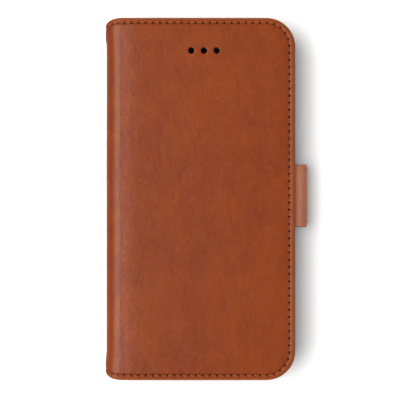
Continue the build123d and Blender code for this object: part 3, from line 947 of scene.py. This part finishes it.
def strap_half(name, last, radius, lay, ends, nodes):
    """The leather, lining and seam of one half of the strap, from the middle of its side.

    A lone needle hole stays beside the bend, and the stitches start beyond it.
    """
    edge = Edge(
        [(0, -STRAP_HALF), (last, -STRAP_HALF), (last, STRAP_HALF), (0, STRAP_HALF)],
        [0, radius, radius, 0], SEAM,
    )
    count = round((edge.length - 2 * FIRST_NEEDLE) / PITCH)
    needles = np.linspace(FIRST_NEEDLE, edge.length - FIRST_NEEDLE, count + 1)
    needles = needles[[k for k in range(count + 1) if not {k, count - k} & NO_NEEDLE]]
    grid = lattice_of(np.arange(0.6, last, 0.7), np.arange(-STRAP_HALF + 0.4, STRAP_HALF, 1.5))
    # The strap's face gets painted light where the cover's edge shades it and round its bend.
    skin = sheet(
        f"strap_{name}_leather", edge, STRAP_PROFILE, lay, grid, STRAP_PAINTED_PALER, needles, 0.3,
        tone=strap_tone, wear=strap_wear, spacing=0.8,
    )
    lining = sheet(
        f"strap_{name}_lining", edge, STRAP_LINING_PROFILE, lay, grid, LINING, needles, spacing=0.8,
    )
    outer = seam(f"strap_{name}_thread", edge, needles, lay, 0.04, 0.35)
    inner = seam(f"strap_{name}_inner_thread", edge, needles, lay, 1.36, -0.3)
    made = ((skin, "leather"), (lining, "lining"), (outer, "thread"), (inner, "thread"))
    for piece, slot in made:
        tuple(ends[0])
        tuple(ends[1])
        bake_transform(piece)
    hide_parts(*nodes["leather"])
    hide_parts(*nodes["lining"])
    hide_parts(*nodes["thread"])


front_skin, front_lining, front_thread = cover("front", lay_front, ear_holes)
back_skin, back_lining, back_thread = cover("back", lay_back, window_hole)
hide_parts("front_skin", "front_crease_skin", "spine_skin")
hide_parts("back_skin", "back_crease_skin")
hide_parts("front_lining", "front_crease_lining", "spine_lining")
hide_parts("back_lining", "back_crease_lining")
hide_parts("front_stitching", "front_crease_stitching", "spine_stitching")
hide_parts("back_stitching", "back_crease_stitching")

for pocket_name, next_mouth in zip(POCKETS, MOUTHS[1:] + [-HALF - 0.3]):
    pocket(pocket_name, next_mouth + 0.3)
card_thread()

strap_half(
    "upper", TIP_T, TIP_CORNER, lay_tip,
    bend_ends(*STRAP_CENTRE, STRAP_BEND, (1, -1)),
    {
        "leather": ("strap_tip_leather", "strap_upper_bend_leather", "strap_side_leather"),
        "lining": ("strap_tip_lining", "strap_upper_bend_lining", "strap_side_lining"),
        "thread": ("strap_tip_stitching", "strap_side_stitching"),
    },
)
strap_half(
    "lower", ROOT_T, ROOT_CORNER, lay_root,
    bend_ends(STRAP_CENTRE[0], 2 * STRAP_MID - STRAP_CENTRE[1], STRAP_BEND, (1, 1)),
    {
        "leather": ("strap_anchor", "strap_lower_bend_leather"),
        "lining": ("strap_lower_bend_lining",),
        "thread": (),
    },
)

# ---------------------------------------------------------------- carried-over CAD nodes
for look, names in (
    (BOARD, ("front_board", "back_board", "strap_tip_core")),
    (METAL, ("front_magnet", "strap_magnet")),
    (TRAY, ("phone_tray",)),
):
    for name in names:
        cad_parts[name].data.materials.clear()
        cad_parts[name].data.materials.append(look)

# ---------------------------------------------------------------- floor, light, camera
# The floor lies a little low, because the spine's hems reach below the case when it's open.
FLOOR_DROP = 0.5
floor_mesh = bpy.data.meshes.new("floor")
reach = 1.0
floor_mesh.from_pydata(
    [(-reach, -reach, 0), (reach, -reach, 0), (reach, reach, 0), (-reach, reach, 0)], [], [(0, 1, 2, 3)]
)
floor = bpy.data.objects.new("floor", floor_mesh)
bpy.context.scene.collection.objects.link(floor)
floor.location.z = -FLOOR_DROP * MM
floor_material, floor_tree, floor_shader = new_material("floor_white")
floor_shader.inputs["Base Color"].default_value = (0.67, 0.67, 0.675, 1)
floor_shader.inputs["Roughness"].default_value = 0.8
floor_shader.inputs["Specular IOR Level"].default_value = 0.2
floor_mesh.materials.append(floor_material)
floor.visible_glossy = False

world = bpy.data.worlds.new("studio")
bpy.context.scene.world = world
world.use_nodes = True
world_tree = world.node_tree
background = world_tree.nodes["Background"]
background.inputs[0].default_value = (1.0, 1.0, 1.0, 1)
rays = world_tree.nodes.new("ShaderNodeLightPath")
sky = world_tree.nodes.new("ShaderNodeSeparateXYZ")
world_tree.links.new(world_tree.nodes.new("ShaderNodeTexCoord").outputs["Generated"], sky.inputs[0])
mirrored = world_tree.nodes.new("ShaderNodeMapRange")
world_tree.links.new(sky.outputs["Z"], mirrored.inputs["Value"])
for socket, value in zip(("From Min", "From Max", "To Min", "To Max"), (-0.7, 0.1, 0.7, 0.07)):
    mirrored.inputs[socket].default_value = value
# The studio lights the case evenly. Its gloss mirrors what is darker above and paler towards
# the table, and the camera sees white.
strength = 0.42
for ray, value in (("Is Glossy Ray", mirrored.outputs["Result"]), ("Is Camera Ray", 1.2)):
    choice = world_tree.nodes.new("ShaderNodeMix")
    for socket, source in zip(choice.inputs[:4], (rays.outputs[ray], None, strength, value)):
        if hasattr(source, "links"):
            world_tree.links.new(source, socket)
        elif source is not None:
            socket.default_value = source
    strength = choice.outputs[0]
world_tree.links.new(strength, background.inputs[1])


LIGHT_DISTANCE = 0.8
LIGHT_LENGTH = 1.0


def area_light(name, angle, width, radiance):
    """A long soft light beside the case, leaning from straight above by angle degrees."""
    data = bpy.data.lights.new(name, "AREA")
    data.shape = "RECTANGLE"
    data.size = width
    data.size_y = LIGHT_LENGTH
    data.energy = radiance * PI * LIGHT_LENGTH * width
    data.color = (1.0, 0.94, 0.86)
    obj = bpy.data.objects.new(name, data)
    a = math.radians(angle)
    obj.location = (LIGHT_DISTANCE * math.sin(a), 0.0, LIGHT_DISTANCE * math.cos(a))
    obj.rotation_euler = (0.0, a, 0.0)
    bpy.context.scene.collection.objects.link(obj)
    return obj


sun_data = bpy.data.lights.new("overhead", "SUN")
sun_data.energy = 2.9
sun_data.angle = math.radians(33)
sun = bpy.data.objects.new("overhead", sun_data)
sun.rotation_euler = (0.0, math.radians(-17), 0.0)
sun.visible_glossy = False
bpy.context.scene.collection.objects.link(sun)
area_light("key_left", -37, 0.5, 4.3)
area_light("fill_right", 42, 0.2, 2.0)
area_light("haze_left", -22, 0.3, 1.1).visible_diffuse = False

camera_data = bpy.data.cameras.new("camera")
camera = bpy.data.objects.new("camera", camera_data)
bpy.context.scene.collection.objects.link(camera)
camera_data.lens = 120.0
camera_data.sensor_width = 36.0
camera_data.clip_end = 20.0

# The width that the camera sees at the front cover, and the view's middle from its edges.
VIEW_WIDTH = 160.9
VIEW_IN = 38.4
VIEW_DOWN = 73.4
camera.location = (
    (X_RIGHT - VIEW_IN) * MM,
    (HALF - VIEW_DOWN) * MM,
    (Z_TOP + VIEW_WIDTH * camera_data.lens / camera_data.sensor_width) * MM,
)
bpy.context.scene.camera = camera
bpy.context.scene.view_settings.view_transform = "Standard"
